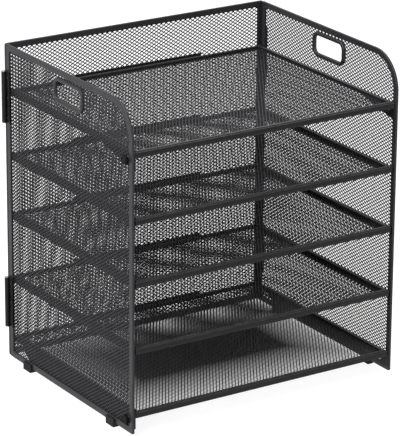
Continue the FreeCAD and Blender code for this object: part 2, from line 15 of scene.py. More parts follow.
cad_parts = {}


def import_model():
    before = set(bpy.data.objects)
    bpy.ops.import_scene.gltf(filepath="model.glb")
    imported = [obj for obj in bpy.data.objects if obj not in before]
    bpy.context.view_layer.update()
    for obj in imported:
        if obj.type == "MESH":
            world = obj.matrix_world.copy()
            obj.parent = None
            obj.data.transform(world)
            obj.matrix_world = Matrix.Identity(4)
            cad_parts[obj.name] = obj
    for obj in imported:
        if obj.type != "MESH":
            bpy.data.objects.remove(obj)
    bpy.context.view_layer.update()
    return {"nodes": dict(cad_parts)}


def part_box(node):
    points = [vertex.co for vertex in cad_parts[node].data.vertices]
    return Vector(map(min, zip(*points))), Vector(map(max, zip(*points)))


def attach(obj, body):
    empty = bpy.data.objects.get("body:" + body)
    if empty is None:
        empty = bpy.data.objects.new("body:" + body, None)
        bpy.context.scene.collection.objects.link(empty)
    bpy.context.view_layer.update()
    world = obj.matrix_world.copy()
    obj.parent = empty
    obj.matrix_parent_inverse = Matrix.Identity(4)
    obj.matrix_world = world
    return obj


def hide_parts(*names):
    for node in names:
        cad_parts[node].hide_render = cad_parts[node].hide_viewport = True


LOG = logging.getLogger("tray_tower")
MM = 0.001
LEVELS = (1, 2, 3)
MERGE = 0.005 * MM
SHARP_TURN = math.radians(35)
GRAIN_DEPTH = 0.05 * MM
# Colour of settled dust, which on the trays' rim tops is also a painted highlight.
DUST_AND_HIGHLIGHT_COLOUR = (0.16, 0.155, 0.15)
WEAR_AND_HIGHLIGHT_FINENESS = 6
DUST_AND_HIGHLIGHT_FINENESS = 4
WHITE = (1.0, 1.0, 1.0, 1.0)


class Spread(Enum):
    """The plane that a mesh sheet lies in, as the turn that takes it there from XY."""

    FLOOR = (Vector((0, 1, 0)), Vector((-1, 0, 0)), Vector((0, 0, 1)))
    REAR = (Vector((1, 0, 0)), Vector((0, 0, 1)), Vector((0, -1, 0)))
    SIDE = (Vector((0, 1, 0)), Vector((0, 0, 1)), Vector((1, 0, 0)))

    def frame(self, centre: Vector) -> Matrix:
        """Return the matrix from the sheet's own plane to its place.

        Args:
            centre: The middle of the sheet in the tower's frame.

        Returns:
            A matrix whose columns are the sheet's two directions and its normal.
        """
        across, along, normal = self.value
        turn = Matrix((across, along, normal)).transposed().to_4x4()
        return Matrix.Translation(centre) @ turn


class Side(Enum):
    """The two sides of the tower."""

    LEFT = -1
    RIGHT = 1

    @property
    def word(self) -> str:
        """Return the side's name as the nodes spell it."""
        return self.name.lower()


class Graph:
    """A node tree with short calls for adding and joining its nodes."""

    def __init__(self, tree: bpy.types.NodeTree) -> None:
        """Keep the tree that the nodes go into."""
        self.tree = tree

    def add(self, kind: str, **settings: object) -> bpy.types.Node:
        """Add a node.

        Args:
            kind: The node's type, without the leading ShaderNode.
            settings: Its properties.

        Returns:
            The new node.
        """
        made = self.tree.nodes.new(f"ShaderNode{kind}")
        for name, setting in settings.items():
            setattr(made, name, setting)
        return made

    def feed(self, node: bpy.types.Node, **inputs: object) -> bpy.types.Node:
        """Set or link a node's inputs, with each space of a socket's name as an underscore.

        Args:
            node: The node that takes the inputs.
            inputs: A value, or an output socket to link, for each input's name.

        Returns:
            The same node.
        """
        for name, source in inputs.items():
            socket = node.inputs[name.replace("_", " ")]
            if isinstance(source, bpy.types.NodeSocket):
                self.tree.links.new(source, socket)
            else:
                socket.default_value = source
        return node

    def combine(self, operation: str, first: bpy.types.NodeSocket,
                second: bpy.types.NodeSocket) -> bpy.types.NodeSocket:
        """Work out one value from two.

        Args:
            operation: The Math node's operation.
            first: The first value's socket.
            second: The second value's socket.

        Returns:
            The result's socket.
        """
        node = self.add("Math", operation=operation)
        for socket, source in zip(node.inputs, (first, second)):
            self.tree.links.new(source, socket)
        return node.outputs["Value"]

    def remap(self, source: bpy.types.NodeSocket, found: tuple[object, object],
              wanted: tuple[object, object]) -> bpy.types.NodeSocket:
        """Stretch one range of a value onto another, and hold it there.

        Args:
            source: The value's socket.
            found: The two ends of the range that it comes in, as values or sockets.
            wanted: What those ends become.

        Returns:
            The result's socket.
        """
        node = self.feed(self.add("MapRange"), Value=source, From_Min=found[0], From_Max=found[1],
                         To_Min=wanted[0], To_Max=wanted[1])
        return node.outputs["Result"]


def open_group(name: str, inputs: dict[str, float],
               outputs: tuple[str, ...]) -> tuple[Graph, bpy.types.Node, bpy.types.Node]:
    """Start a shared effect as a shader node group.

    Args:
        name: The group's name.
        inputs: Each input's name with the value that it starts at.
        outputs: The outputs' names.

    Returns:
        The group's graph, the node that brings the inputs and the node that takes the outputs.
    """
    group = bpy.data.node_groups.new(name, "ShaderNodeTree")
    for label, start in inputs.items():
        made = group.interface.new_socket(name=label, in_out="INPUT", socket_type="NodeSocketFloat")
        made.default_value = start
    for label in outputs:
        group.interface.new_socket(name=label, in_out="OUTPUT", socket_type="NodeSocketFloat")
    return Graph(group), group.nodes.new("NodeGroupInput"), group.nodes.new("NodeGroupOutput")


def grain_group() -> bpy.types.NodeTree:
    """Return the shared effect of a baked powder coat: fine grain and slow unevenness.

    Returns:
        A group with inputs Grain, Patch, Low and High and outputs Height, Mask and Roughness.
    """
    known = bpy.data.node_groups.get("coat_grain")
    if known:
        return known
    inputs = {"Grain": 1400.0, "Patch": 35.0, "Low": 0.4, "High": 0.55}
    graph, entry, leave = open_group("coat_grain", inputs, ("Height", "Mask", "Roughness"))
    place = graph.add("TexCoord").outputs["Object"]
    fine = graph.feed(graph.add("TexNoise"), Vector=place, Scale=entry.outputs["Grain"], Detail=3.0)
    slow = graph.feed(graph.add("TexNoise"), Vector=place, Scale=entry.outputs["Patch"], Detail=4.0,
                      Roughness=0.6)
    ends = (entry.outputs["Low"], entry.outputs["High"])
    gloss = graph.remap(slow.outputs["Fac"], found=(0.3, 0.7), wanted=ends)
    graph.feed(leave, Height=fine.outputs["Fac"], Mask=slow.outputs["Fac"], Roughness=gloss)
    return graph.tree


def wear_and_highlight_group() -> bpy.types.NodeTree:
    """Return the shared effect of edges made lighter in broken patches: rubbed by handling, and on
    the trays' coat mostly a painted highlight along the rims' beads.

    Returns:
        A group with inputs Radius, Patch and Reach and the output Mask.
    """
    known = bpy.data.node_groups.get("rubbed_and_highlit_edges")
    if known:
        return known
    inputs = {"Radius": 0.6 * MM, "Patch": 180.0, "Reach": 0.6}
    graph, entry, leave = open_group("rubbed_and_highlit_edges", inputs, ("Mask",))
    soft = graph.feed(graph.add("Bevel", samples=4), Radius=entry.outputs["Radius"])
    match = graph.add("VectorMath", operation="DOT_PRODUCT")
    graph.tree.links.new(soft.outputs["Normal"], match.inputs[0])
    graph.tree.links.new(graph.add("NewGeometry").outputs["Normal"], match.inputs[1])
    edge = graph.remap(match.outputs["Value"], found=(0.985, 0.8), wanted=(0.0, 1.0))
    place = graph.add("TexCoord").outputs["Object"]
    patch = graph.feed(graph.add("TexNoise"), Vector=place, Scale=entry.outputs["Patch"], Detail=5.0,
                       Roughness=0.65)
    broken = graph.remap(patch.outputs["Fac"], found=(0.35, 0.65), wanted=(0.15, 1.0))
    both = graph.combine("MULTIPLY", edge, broken)
    graph.feed(leave, Mask=graph.combine("MULTIPLY", both, entry.outputs["Reach"]))
    return graph.tree


def dust_and_highlight_group() -> bpy.types.NodeTree:
    """Return the shared effect of a lighter colour on faces turned upwards: fine settled dust, and on
    the trays' coat mostly a painted highlight where light falls from above.

    Returns:
        A group with inputs Patch and Reach and the output Mask.
    """
    known = bpy.data.node_groups.get("settled_dust_and_highlight")
    if known:
        return known
    graph, entry, leave = open_group("settled_dust_and_highlight", {"Patch": 60.0, "Reach": 0.3}, ("Mask",))
    facing = graph.feed(graph.add("SeparateXYZ"), Vector=graph.add("NewGeometry").outputs["Normal"])
    upward = graph.remap(facing.outputs["Z"], found=(0.3, 1.0), wanted=(0.0, 1.0))
    place = graph.add("TexCoord").outputs["Object"]
    specks = graph.feed(graph.add("TexNoise"), Vector=place, Scale=entry.outputs["Patch"], Detail=8.0,
                        Roughness=0.75)
    spread = graph.remap(specks.outputs["Fac"], found=(0.4, 0.7), wanted=(0.3, 1.0))
    lying = graph.combine("MULTIPLY", upward, spread)
    graph.feed(leave, Mask=graph.combine("MULTIPLY", lying, entry.outputs["Reach"]))
    return graph.tree


@dataclass(frozen=True)
class Coat:
    """A finish made of two near colours, grain, lighter edges, lighter upward faces and a range of
    roughness: the lighter edges and faces are rubbing and dust, and on the trays' coat mostly painted
    highlight.
    """

    name: str
    dark: tuple[float, float, float]
    light: tuple[float, float, float]
    low_gloss: float
    high_gloss: float
    grain: float
    patch: float
    bump: float
    specular: float
    metallic: float = 0.0
    # Lighter edges: real rubbing, and on the trays' coat a painted highlight along the rims' beads.
    rubbed_and_highlight: tuple[float, float, float] = (0.09, 0.09, 0.095)
    wear_and_highlight: float = 0.0
    edge: float = 0.5 * MM
    # Lighter upward faces: real dust, and on the trays' coat a painted highlight on the rims' tops.
    dust_and_highlight: float = 0.0

    def material(self) -> bpy.types.Material:
        """Return the finish as a material, made on its first use.

        Returns:
            The material that carries this finish.
        """
        known = bpy.data.materials.get(self.name)
        if known:
            return known
        made = bpy.data.materials.new(self.name)
        made.use_nodes = True
        graph = Graph(made.node_tree)
        shader = made.node_tree.nodes["Principled BSDF"]
        effect = graph.add("Group")
        effect.node_tree = grain_group()
        graph.feed(effect, Grain=self.grain, Patch=self.patch, Low=self.low_gloss,
                   High=self.high_gloss)
        tone = graph.add("Mix", data_type="RGBA")
        tone.inputs[6].default_value = (*self.dark, 1.0)
        tone.inputs[7].default_value = (*self.light, 1.0)
        made.node_tree.links.new(effect.outputs["Mask"], tone.inputs[0])
        colour = tone.outputs[2]
        # Lighter edges: rubbing, and on the trays' coat mostly a painted highlight along the rims'
        # beads.
        if self.wear_and_highlight:
            rub_and_highlight = graph.add("Group")
            rub_and_highlight.node_tree = wear_and_highlight_group()
            graph.feed(rub_and_highlight, Radius=self.edge, Patch=WEAR_AND_HIGHLIGHT_FINENESS * self.patch, Reach=self.wear_and_highlight)
            colour = self.over(graph, colour, self.rubbed_and_highlight, rub_and_highlight.outputs["Mask"])
        # Lighter upward faces: settled dust, and on the trays' coat mostly a painted highlight on the
        # rims' tops.
        if self.dust_and_highlight:
            lint_and_highlight = graph.add("Group")
            lint_and_highlight.node_tree = dust_and_highlight_group()
            graph.feed(lint_and_highlight, Patch=DUST_AND_HIGHLIGHT_FINENESS * self.patch, Reach=self.dust_and_highlight)
            colour = self.over(graph, colour, DUST_AND_HIGHLIGHT_COLOUR, lint_and_highlight.outputs["Mask"])
        bump = graph.feed(graph.add("Bump"), Height=effect.outputs["Height"], Strength=self.bump,
                          Distance=GRAIN_DEPTH)
        graph.feed(shader, Base_Color=colour, Roughness=effect.outputs["Roughness"],
                   Normal=bump.outputs["Normal"], Metallic=self.metallic,
                   Specular_IOR_Level=self.specular)
        return made

    def over(self, graph: Graph, under: bpy.types.NodeSocket, colour: tuple[float, float, float],
             mask: bpy.types.NodeSocket) -> bpy.types.NodeSocket:
        """Lay a colour over another where a mask says so.

        Args:
            graph: The material's node tree.
            under: The colour beneath.
            colour: The colour that goes over it.
            mask: Where it goes, from 0 to 1.

        Returns:
            The mixed colour's socket.
        """
        mix = graph.add("Mix", data_type="RGBA")
        graph.tree.links.new(mask, mix.inputs[0])
        graph.tree.links.new(under, mix.inputs[6])
        mix.inputs[7].default_value = (*colour, 1.0)
        return mix.outputs[2]


PANEL_COAT = Coat("panel_powder_coat", (0.0155, 0.0148, 0.018), (0.0225, 0.0217, 0.026),
                  0.34, 0.48, 1500.0, 30.0, 0.35, 0.25, rubbed_and_highlight=(0.092, 0.088, 0.098), wear_and_highlight=0.4,
                  dust_and_highlight=0.05)
# The trays' coat: its dark base colours are in part painted shade on the trays' front faces, and its
# strong rubbed edges and dust are mostly painted highlight on the rims' beads and tops.
TRAY_COAT = Coat("tray_powder_coat", (0.0036, 0.0034, 0.0045), (0.0062, 0.0059, 0.0075),
                 0.26, 0.38, 1500.0, 34.0, 0.3, 0.22, rubbed_and_highlight=(0.13, 0.126, 0.138), wear_and_highlight=0.75,
                 edge=0.8 * MM, dust_and_highlight=0.42)
MESH_COAT = Coat("mesh_powder_coat", (0.008, 0.0077, 0.0096), (0.0152, 0.0147, 0.0178),
                 0.4, 0.56, 1800.0, 60.0, 0.3, 0.22, dust_and_highlight=0.06)
BRACKET_COAT = Coat("bracket_powder_coat", (0.006, 0.0058, 0.007), (0.010, 0.0097, 0.0116),
                    0.38, 0.54, 1500.0, 40.0, 0.35, 0.2, wear_and_highlight=0.3)
HINGE_COAT = Coat("hinge_powder_coat", (0.004, 0.004, 0.0045), (0.007, 0.007, 0.0078),
                  0.38, 0.54, 1400.0, 55.0, 0.4, 0.2, wear_and_highlight=0.3)
PLATE = Coat("zinc_plate", (0.34, 0.34, 0.36), (0.46, 0.46, 0.47),
             0.28, 0.42, 2500.0, 90.0, 0.15, 0.5, 1.0)
KNOB = Coat("knob_black", (0.0016, 0.0016, 0.0018), (0.0034, 0.0034, 0.0038),
            0.42, 0.56, 1900.0, 120.0, 0.3, 0.1, wear_and_highlight=0.35, edge=0.3 * MM)
RUBBER = Coat("foot_rubber", (0.008, 0.008, 0.008), (0.014, 0.014, 0.014),
              0.6, 0.78, 900.0, 150.0, 0.6, 0.2, rubbed_and_highlight=(0.05, 0.05, 0.05), wear_and_highlight=0.3, edge=0.7 * MM)


@dataclass
class ExpandedMesh:
    """Expanded steel mesh: a sheet slit and drawn into rows of diamonds.

    The tilt is how far the upper corner of a gap stands out of the sheet's plane.
    """

    long_pitch: float = 6.09 * MM
    short_pitch: float = 3.85 * MM
    strand: float = 1.02 * MM
    thick: float = 0.4 * MM
    tilt: float = -0.2 * MM

    def cells(self, half_wide: float, half_tall: float) -> bmesh.types.BMesh:
        """Return a flat sheet of whole diamonds that reaches just past a rectangle.

        Args:
            half_wide: Half the rectangle along the diamonds.
            half_tall: Half the rectangle across the diamonds.

        Returns:
            A mesh in the XY plane, one face for each diamond.
        """
        shape = bmesh.new()
        count = 2 * math.ceil(half_wide / self.long_pitch + half_tall / self.short_pitch) + 4
        bmesh.ops.create_grid(shape, x_segments=count, y_segments=count, size=count / 2)
        root = math.sqrt(0.5)
        stretch = Matrix.Diagonal((self.long_pitch * root, self.short_pitch * root, 1, 1))
        turn = Matrix.Rotation(math.pi / 4, 4, "Z")
        bmesh.ops.transform(shape, matrix=stretch @ turn, verts=shape.verts)
        outside = []
        for face in shape.faces:
            spot = face.calc_center_median()
            past_side = abs(spot.x) > half_wide + self.long_pitch
            past_top = abs(spot.y) > half_tall + self.short_pitch
            if past_side or past_top:
                outside.append(face)
        bmesh.ops.delete(shape, geom=outside, context="FACES")
        return shape

    def open_gaps(self, shape: bmesh.types.BMesh) -> None:
        """Turn each diamond into a gap ringed by strands that lean as drawn metal does.

        Args:
            shape: The flat sheet of diamonds, changed in place.
        """
        diamonds = list(shape.faces)
        bmesh.ops.inset_individual(shape, faces=diamonds, thickness=self.strand / 2,
                                   use_even_offset=True)
        for face in diamonds:
            ranked = sorted(face.verts, key=lambda corner: corner.co.y)
            ranked[0].co.z -= self.tilt
            ranked[-1].co.z += self.tilt
        bmesh.ops.delete(shape, geom=diamonds, context="FACES")

    def trim(self, shape: bmesh.types.BMesh, half_wide: float, half_tall: float) -> None:
        """Cut a sheet straight along the four sides of a rectangle.

        Args:
            shape: The flat sheet of strands, changed in place.
            half_wide: Half the rectangle along the diamonds.
            half_tall: Half the rectangle across the diamonds.
        """
        for axis, half in enumerate((half_wide, half_tall)):
            for sign in (-1, 1):
                way = Vector((0, 0, 0))
                way[axis] = sign
                bmesh.ops.bisect_plane(shape, geom=everything(shape), plane_co=way * half,
                                       plane_no=way, clear_outer=True)

    def window(self, shape: bmesh.types.BMesh, middle: Vector, half: Vector) -> None:
        """Cut a rectangular opening in a sheet.

        Args:
            shape: The sheet, changed in place.
            middle: The opening's middle in the sheet's plane.
            half: Half the opening's width and height.
        """
        reach = Vector((self.long_pitch, self.short_pitch))
        for axis in (0, 1):
            for sign in (-1, 1):
                near = [face for face in shape.faces if self.within(face, middle, half + reach)]
                edges = {edge for face in near for edge in face.edges}
                corners = {corner for face in near for corner in face.verts}
                line = Vector((0, 0, 0))
                line[axis] = sign
                start = Vector((middle.x, middle.y, 0)) + line * half[axis]
                bmesh.ops.bisect_plane(shape, geom=near + list(edges) + list(corners),
                                       plane_co=start, plane_no=line)
        inside = [face for face in shape.faces if self.within(face, middle, half)]
        bmesh.ops.delete(shape, geom=inside, context="FACES")

    def within(self, face: bmesh.types.BMFace, middle: Vector, half: Vector) -> bool:
        """Tell whether a face's middle lies in a rectangle of the sheet's plane."""
        spot = face.calc_center_median()
        return abs(spot.x - middle.x) < half.x and abs(spot.y - middle.y) < half.y

    def finish(self, shape: bmesh.types.BMesh, spread: Spread, centre: Vector) -> None:
        """Give a sheet its thickness and set it in its place.

        Args:
            shape: The sheet of strands, changed in place.
            spread: The plane that it lies in.
            centre: Its middle in the tower's frame.
        """
        bmesh.ops.solidify(shape, geom=list(shape.faces), thickness=self.thick)
        lift = Matrix.Translation((0, 0, self.middle_height(shape)))
        bmesh.ops.transform(shape, matrix=spread.frame(centre) @ lift, verts=shape.verts)
        bmesh.ops.recalc_face_normals(shape, faces=shape.faces)

    def middle_height(self, shape: bmesh.types.BMesh) -> float:
        """Return how far a thickened sheet has to rise to lie about its own plane."""
        heights = [corner.co.z for corner in shape.verts]
        return -(min(heights) + max(heights)) / 2


def everything(shape: bmesh.types.BMesh) -> list[object]:
    """Return all corners, edges and faces of a mesh in work."""
    return shape.verts[:] + shape.edges[:] + shape.faces[:]


def solid(shape: bmesh.types.BMesh, name: str, finish: Coat) -> bpy.types.Object:
    """Make an object from a mesh in work, with its finish.

    Args:
        shape: The mesh in work, which this frees.
        name: The object's name.
        finish: What covers it.

    Returns:
        The new object, at the origin.
    """
    data = bpy.data.meshes.new(name)
    shape.to_mesh(data)
    shape.free()
    made = bpy.data.objects.new(name, data)
    bpy.context.scene.collection.objects.link(made)
    data.materials.append(finish.material())
    return made


def middle_of(node: str) -> tuple[Vector, Vector]:
    """Return the middle and the half size of a node's box.

    Args:
        node: The node's name.

    Returns:
        The box's middle, and half its size each way.
    """
    low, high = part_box(node)
    return (low + high) / 2, (high - low) / 2


def dress(nodes: dict[str, bpy.types.Object], names: list[str], finish: Coat) -> None:
    """Give a finish to pieces that keep their own shape.

    Args:
        nodes: The loaded nodes by name.
        names: The nodes to dress.
        finish: What covers them.
    """
    for name in names:
        data = nodes[name].data
        data.materials.clear()
        data.materials.append(finish.material())
        LOG.info("dressed %s in %s", name, finish.name)


def settle(piece: bpy.types.Object, body: str, node: str) -> None:
    """Let a piece ride on a body in place of a node.

    Args:
        piece: The finished piece.
        body: The body that it moves with.
        node: The node that it stands for.
    """
    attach(piece, body)
    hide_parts(node)
    LOG.info("made %s on %s", piece.name, body)


def rings(shape: bmesh.types.BMesh, face: bmesh.types.BMFace,
          steps: tuple[tuple[float, float], ...]) -> bmesh.types.BMFace:
    """Fold a face inwards step by step, so that its rim takes a profile.

    Args:
        shape: The mesh in work.
        face: The face whose border the profile follows.
        steps: How far each step goes inwards and how far it rises, in millimetres.

    Returns:
        The face that is left in the middle.
    """
    for inward, rise in steps:
        bmesh.ops.inset_region(shape, faces=[face], thickness=inward * MM, depth=rise * MM,
                               use_even_offset=True, use_boundary=True)
    return face


@dataclass
class FoldedRim:
    """A tray's rim of folded sheet: a rolled bead, a groove and a lip that clamps the floor."""

    label: str
    body: str
    sheet: float = 0.7 * MM
    wall: float = 4.85 * MM
    corner: float = 1.6 * MM
    edge: float = 0.12 * MM
    profile: tuple[tuple[float, float], ...] = (
        (0.1, 0.22), (0.2, 0.2), (0.24, 0.14), (0.26, 0.06), (0.24, -0.04), (0.2, -0.14), (0.2, -0.3),
        (0.36, -0.08), (0.22, 0.34), (0.16, 0.5), (0.22, 0.36), (0.3, 0.18), (0.5, 0.05), (1.3, 0.0),
        (0.35, -0.12), (0.2, -0.3), (0.08, -1.95))

    def build(self) -> None:
        """Fold the rim round the tray and put it in place of the plain one."""
        node = f"{self.label}_rim"
        low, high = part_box(node)
        middle = (low + high) / 2
        shape = bmesh.new()
        bmesh.ops.create_grid(shape, x_segments=1, y_segments=1, size=0.5)
        size = Matrix.Diagonal((high.x - low.x, high.y - low.y, 1, 1))
        place = Matrix.Translation((middle.x, middle.y, low.z))
        bmesh.ops.transform(shape, matrix=place @ size, verts=shape.verts)
        floor = shape.faces[:]
        raised = bmesh.ops.extrude_face_region(shape, geom=floor)["geom"]
        top = next(part for part in raised if isinstance(part, bmesh.types.BMFace))
        bmesh.ops.translate(shape, vec=(0, 0, self.wall), verts=top.verts)
        below = [face for face in floor if face.is_valid]
        bmesh.ops.delete(shape, geom=below, context="FACES_ONLY")
        top = rings(shape, top, self.profile)
        bmesh.ops.delete(shape, geom=[top], context="FACES_ONLY")
        bmesh.ops.recalc_face_normals(shape, faces=shape.faces)
        upright = [edge for edge in shape.edges
                   if abs(edge.verts[0].co.z - edge.verts[1].co.z) > self.wall / 2]
        bmesh.ops.bevel(shape, geom=upright, affect="EDGES", offset=self.corner, segments=4,
                        profile=0.5, material=-1)
        made = solid(shape, f"{self.label}_folded_rim", TRAY_COAT)
        wall = made.modifiers.new("sheet", "SOLIDIFY")
        wall.thickness = self.sheet
        wall.offset = -1.0
        soften(made, self.edge, 2)
        settle(made, self.body, node)


def smooth(piece: bpy.types.Object) -> None:
    """Shade all faces of a piece smoothly.

    Args:
        piece: The piece.
    """
    for face in piece.data.polygons:
        face.use_smooth = True


def soften(piece: bpy.types.Object, width: float, segments: int) -> None:
    """Round a piece's sharp edges and shade its curved faces smoothly.

    Args:
        piece: The piece.
        width: How wide the rounding is.
        segments: How many faces the rounding has.
    """
    bevel = piece.modifiers.new("edges", "BEVEL")
    bevel.width = width
    bevel.segments = segments
    bevel.limit_method = "ANGLE"
    bevel.angle_limit = SHARP_TURN
    bevel.harden_normals = True
    smooth(piece)


@dataclass
class HandLip:
    """The rolled lip that lines a hand hole."""

    side: Side
    corner: float = 10.0 * MM
    steps: int = 48
    profile: tuple[tuple[float, float], ...] = (
        (0.06, 0.5), (0.14, 0.42), (0.26, 0.36), (0.38, 0.26), (0.5, 0.14), (0.91, 0.0), (0.91, 0.0),
        (0.5, -0.14), (0.38, -0.26), (0.26, -0.36), (0.14, -0.42), (0.06, -0.5))

    def build(self) -> None:
        """Roll both halves of the lip and put it in place of the plain one."""
        node = f"{self.side.word}_handle_rim"
        middle, half = middle_of(node)
        shape = bmesh.new()
        turn = Matrix.Rotation(math.pi / self.steps, 4, "Z")
        bmesh.ops.create_circle(shape, cap_ends=True, segments=self.steps, radius=self.corner,
                                matrix=turn)
        for spot in shape.verts:
            spot.co.x += math.copysign(half.y - self.corner, spot.co.x)
            spot.co.y += math.copysign(half.z - self.corner, spot.co.y)
        rise = half.x / MM / sum(step[1] for step in self.profile if step[1] > 0)
        steps = tuple((inward, up * rise) for inward, up in self.profile)
        inner = rings(shape, max(shape.faces, key=lambda face: face.calc_area()), steps)
        bmesh.ops.delete(shape, geom=[inner], context="FACES_ONLY")
        bmesh.ops.mirror(shape, geom=everything(shape), matrix=Matrix(), merge_dist=2 * MERGE,
                         axis="Z")
        bmesh.ops.transform(shape, matrix=Spread.SIDE.frame(middle), verts=shape.verts)
        bmesh.ops.recalc_face_normals(shape, faces=shape.faces)
        made = solid(shape, f"{self.side.word}_hand_lip", PANEL_COAT)
        smooth(made)
        settle(made, f"{self.side.word}_side", node)


@dataclass
class ThumbScrew:
    """A black thumb screw: fluted knob with a dished face, and a threaded shank.

    The crown pairs a depth below the face, in millimetres, with a share of the knob's radius. Back,
    root and tip are shares too: of the knob's radius at its rear, and of the shank's.
    """

    side: Side
    part: str
    knob_deep: float = 3.8 * MM
    crown: tuple[tuple[float, float], ...] = (
        (0.5, 0.0), (0.5, 0.42), (0.75, 0.62), (0.15, 0.69), (0.0, 0.76), (0.12, 0.88), (0.5, 0.96),
        (1.0, 1.0))
    shoulder: float = 0.4 * MM
    back: float = 0.93
    shank: float = 1.75 * MM
    pitch: float = 0.7 * MM
    root: float = 0.84
    tip: float = 0.7
    flutes: int = 18
    flute_margin: float = 0.12 * MM
    flute_depth: float = 0.28 * MM
    edge: float = 0.08 * MM

    def outline(self, radius: float, length: float) -> list[tuple[float, float]]:
        """Return the half profile that is turned about the axis.

        Args:
            radius: The knob's radius.
            length: The whole screw's length from its face to its tip.

        Returns:
            Pairs of depth below the face and distance from the axis.
        """
        deep = self.knob_deep
        path = [(below * MM, radius * share) for below, share in self.crown]
        path += [(deep - self.shoulder, radius), (deep, radius * self.back), (deep, self.shank)]
        turns = int((length - deep - 1.0 * MM) / self.pitch)
        for turn in range(turns):
            path.append((deep + (turn + 0.5) * self.pitch, self.shank * self.root))
            path.append((deep + (turn + 1) * self.pitch, self.shank))
        path.append((length, self.shank * self.tip))
        path.append((length, 0.0))
        return path

    def build(self) -> None:
        """Turn the screw, cut its flutes and put it in place of the plain one."""
        node = f"{self.side.word}_{self.part}_thumb_screw"
        middle, half = middle_of(node)
        radius = half.z
        shape = bmesh.new()
        spots = [shape.verts.new((far, 0, -deep)) for deep, far in self.outline(radius, 2 * half.x)]
        edges = [shape.edges.new(pair) for pair in zip(spots, spots[1:])]
        bmesh.ops.spin(shape, geom=spots + edges, cent=(0, 0, 0), axis=(0, 0, 1), dvec=(0, 0, 0),
                       angle=2 * math.pi, steps=2 * self.flutes, use_merge=True)
        bmesh.ops.remove_doubles(shape, verts=shape.verts, dist=MERGE)
        bmesh.ops.recalc_face_normals(shape, faces=shape.faces)
        self.flute(shape, radius)
        outward = Matrix.Rotation(self.side.value * math.pi / 2, 4, "Y")
        face = Vector((middle.x + self.side.value * half.x, middle.y, middle.z))
        bmesh.ops.transform(shape, matrix=Matrix.Translation(face) @ outward, verts=shape.verts)
        made = solid(shape, f"{self.side.word}_{self.part}_knob", KNOB)
        soften(made, self.edge, 2)
        settle(made, f"{self.side.word}_side", node)

    def flute(self, shape: bmesh.types.BMesh, radius: float) -> None:
        """Press every second face of the knob's edge inwards.

        Args:
            shape: The turned screw, changed in place.
            radius: The knob's radius.
        """
        wall = []
        for face in shape.faces:
            spot = face.calc_center_median()
            if abs(face.normal.z) < 0.1 and math.hypot(spot.x, spot.y) > radius * 0.97:
                wall.append((math.atan2(spot.y, spot.x), face))
        wall.sort(key=lambda pair: pair[0])
        chosen = [face for _, face in wall[::2]]
        bmesh.ops.inset_individual(shape, faces=chosen, thickness=self.flute_margin,
                                   depth=-self.flute_depth, use_even_offset=True)


@dataclass
class RubberFoot:
    """A moulded rubber cap that grips the bottom rim, with ribbed cheeks."""

    side: Side
    end: str
    slot_wide: float = 2.7 * MM
    slot_deep: float = 5.0 * MM
    ribs: int = 5
    rib_width: float = 0.45 * MM
    rib_proud: float = 0.3 * MM
    edge: float = 0.3 * MM

    def build(self) -> None:
        """Mould the foot and put it in place of the plain one."""
        node = f"{self.side.word}_{self.end}_foot"
        middle, half = middle_of(node)
        shape = bmesh.new()
        bmesh.ops.create_cube(shape, size=2.0)
        bmesh.ops.scale(shape, vec=half, verts=shape.verts)
        for x_at in (-self.slot_wide / 2, self.slot_wide / 2):
            self.slice(shape, Vector((x_at, 0, 0)), Vector((1, 0, 0)))
        for step in range(1, self.ribs):
            y_at = half.y * (2 * step / self.ribs - 1)
            self.slice(shape, Vector((0, y_at, 0)), Vector((0, 1, 0)))
        self.slice(shape, Vector((0, 0, half.z - self.slot_deep)), Vector((0, 0, 1)))
        opened = []
        for face in shape.faces:
            spot = face.calc_center_median()
            mouth = face.normal.z > 0.5
            end = abs(face.normal.y) > 0.5 and spot.z > half.z - self.slot_deep
            if abs(spot.x) < self.slot_wide / 2 and (mouth or end):
                opened.append(face)
        bmesh.ops.delete(shape, geom=opened, context="FACES")
        self.line_slot(shape, half)
        cheeks = [face for face in shape.faces if abs(face.normal.x) > 0.5
                  and abs(face.calc_center_median().x) > half.x * 0.9]
        bmesh.ops.inset_individual(shape, faces=cheeks, thickness=self.rib_width,
                                   depth=-self.rib_proud, use_even_offset=True)
        bmesh.ops.translate(shape, vec=middle, verts=shape.verts)
        made = solid(shape, f"{self.side.word}_{self.end}_cap", RUBBER)
        soften(made, self.edge, 3)
        settle(made, f"{self.side.word}_side", node)

    def slice(self, shape: bmesh.types.BMesh, spot: Vector, way: Vector) -> None:
        """Cut a plane's line into the foot's faces."""
        bmesh.ops.bisect_plane(shape, geom=everything(shape), plane_co=spot, plane_no=way)

    def line_slot(self, shape: bmesh.types.BMesh, half: Vector) -> None:
        """Give the slot its two walls and its floor.

        Args:
            shape: The foot with its slot cut open, changed in place.
            half: Half the foot's size.
        """
        border = [edge for edge in shape.edges if edge.is_boundary
                  and all(abs(corner.co.z - half.z) < 1e-6 for corner in edge.verts)]
        lowered = bmesh.ops.extrude_edge_only(shape, edges=border)["geom"]
        low = [part for part in lowered if isinstance(part, bmesh.types.BMVert)]
        bmesh.ops.translate(shape, vec=(0, 0, -self.slot_deep), verts=low)
        bmesh.ops.remove_doubles(shape, verts=shape.verts, dist=MERGE)
        bmesh.ops.holes_fill(shape, edges=[edge for edge in shape.edges if edge.is_boundary], sides=0)
        bmesh.ops.recalc_face_normals(shape, faces=shape.faces)


